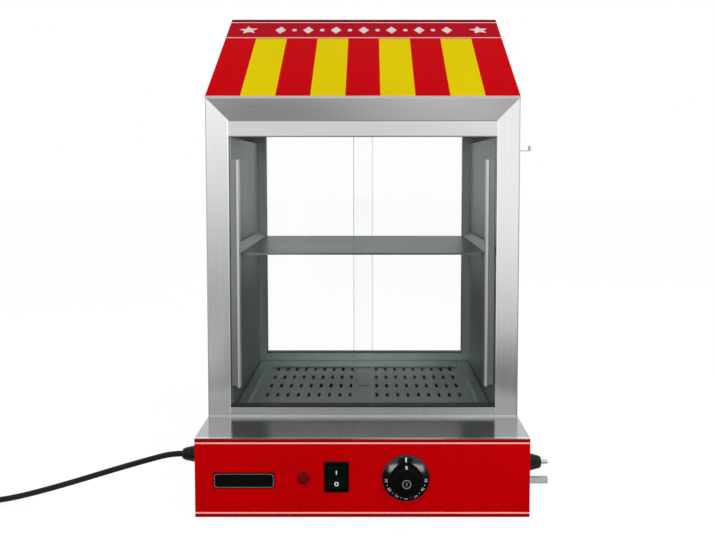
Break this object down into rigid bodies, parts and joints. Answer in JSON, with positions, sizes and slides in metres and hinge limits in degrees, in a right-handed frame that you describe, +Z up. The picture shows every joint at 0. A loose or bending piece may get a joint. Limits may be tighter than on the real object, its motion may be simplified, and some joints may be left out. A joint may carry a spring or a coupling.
{
  "type": "hot dog steamer",
  "caption": "Countertop hot dog steamer: glazed steam cabinet with sliding glass doors, bun shelf and perforated tray over a heated water tank, striped sloping canopy and control base.",
  "frame": {"origin": "on the surface that the feet stand on, below the middle of the object without its cord", "axes": "+X to the right seen from the front, +Y from the front towards the back, +Z up"},
  "size_m": [0.869, 0.4335, 0.62],
  "materials": {
    "casing_steel": "brushed stainless sheet",
    "red_panel": "gloss red print with pale pinstripes",
    "striped_canopy": "gloss red and yellow stripes",
    "bright_steel": "polished stainless sheet",
    "track_aluminium": "extruded, satin",
    "handle_aluminium": "extruded, satin",
    "door_glass": "clear",
    "rear_pane": "clear",
    "black_plastic": "gloss black",
    "matt_black_plastic": "satin black",
    "rocker_plastic": "dark, lit green when on",
    "lens_plastic": "dark red lens",
    "badge": "blank plate",
    "rubber": "black",
    "cord_rubber": "black, smooth",
    "screw_steel": "zinc plated",
    "heater_steel": "stainless tube",
    "brass_parts": "plain brass",
    "white_plastic": "off-white",
    "grey_plastic": "light grey",
    "wire_insulation": "coloured wire"
  },
  "bodies": {
    "cabinet": {"base_floor": "casing_steel", "base_housing": "casing_steel", "base_deck": "casing_steel", "control_panel": "red_panel", "rubber_feet": "rubber", "fixing_screws": "screw_steel", "outer_side_left": "casing_steel", "outer_side_right": "casing_steel", "front_post_left": "casing_steel", "front_post_right": "casing_steel", "soffit_panel": "casing_steel", "header_bar": "casing_steel", "front_sill": "casing_steel", "canopy_panel": "striped_canopy", "roof_top_panel": "casing_steel", "back_panel": "casing_steel", "rear_frame": "bright_steel", "rear_glass_seal": "rubber", "rear_glass": "rear_pane", "ceiling_panel": "bright_steel", "liner_left": "bright_steel", "liner_right": "bright_steel", "door_track_bottom": "track_aluminium", "door_track_top": "track_aluminium", "shelf_brackets": "bright_steel", "water_tank": "bright_steel", "heating_element": "heater_steel", "element_nuts": "brass_parts", "thermostat_body": "white_plastic", "dial_bezel": "black_plastic", "switch_body": "black_plastic", "indicator_lens": "lens_plastic", "indicator_housing": "white_plastic", "badge_plate": "badge", "cable_gland": "black_plastic", "gland_nut": "black_plastic", "drain_valve_body": "brass_parts", "drain_spout": "grey_plastic", "drain_pipe": "brass_parts", "tong_hook": "casing_steel", "overheat_cutout": "white_plastic", "thermostat_probe": "brass_parts", "terminal_block": "white_plastic", "internal_wiring": "wire_insulation", "power_cord": "cord_rubber", "cord_coil": "cord_rubber", "cord_tail": "cord_rubber", "plug_body": "matt_black_plastic", "plug_pins": "brass_parts"},
    "left_door": {"door_left_glass": "door_glass", "door_left_handle": "handle_aluminium"},
    "right_door": {"door_right_glass": "door_glass", "door_right_handle": "handle_aluminium"},
    "temperature_knob": {"thermostat_knob": "matt_black_plastic", "thermostat_shaft": "screw_steel"},
    "power_rocker": {"switch_rocker": "rocker_plastic"},
    "drain_tap": {"drain_knob": "matt_black_plastic", "drain_spindle": "grey_plastic"},
    "tray": {"perforated_tray": "bright_steel"},
    "shelf": {"bun_shelf": "bright_steel"}
  },
  "joints": [
    {"name": "left_door_slide", "type": "slide", "parent": "cabinet", "child": "left_door", "axis": [1, 0, 0], "range_m": [0, 0.136]},
    {"name": "right_door_slide", "type": "slide", "parent": "cabinet", "child": "right_door", "axis": [1, 0, 0], "range_m": [-0.136, 0]},
    {"name": "knob_turn", "type": "hinge", "parent": "cabinet", "child": "temperature_knob", "pos_m": [0.0494, -0.19, 0.0552], "axis": [0, 1, 0], "range_deg": [0, 270]},
    {"name": "rocker_tilt", "type": "hinge", "parent": "cabinet", "child": "power_rocker", "pos_m": [-0.0293, -0.1865, 0.0565], "axis": [-1, 0, 0], "range_deg": [0, 16]},
    {"name": "drain_turn", "type": "hinge", "parent": "cabinet", "child": "drain_tap", "pos_m": [0.19, -0.13, 0.053], "axis": [1, 0, 0], "range_deg": [0, 90]},
    {"name": "tray_lift", "type": "slide", "parent": "cabinet", "child": "tray", "axis": [0, 0, 1], "range_m": [0, 0.1]},
    {"name": "shelf_lift", "type": "slide", "parent": "cabinet", "child": "shelf", "axis": [0, 0, 1], "range_m": [0, 0.1]}
  ]
}
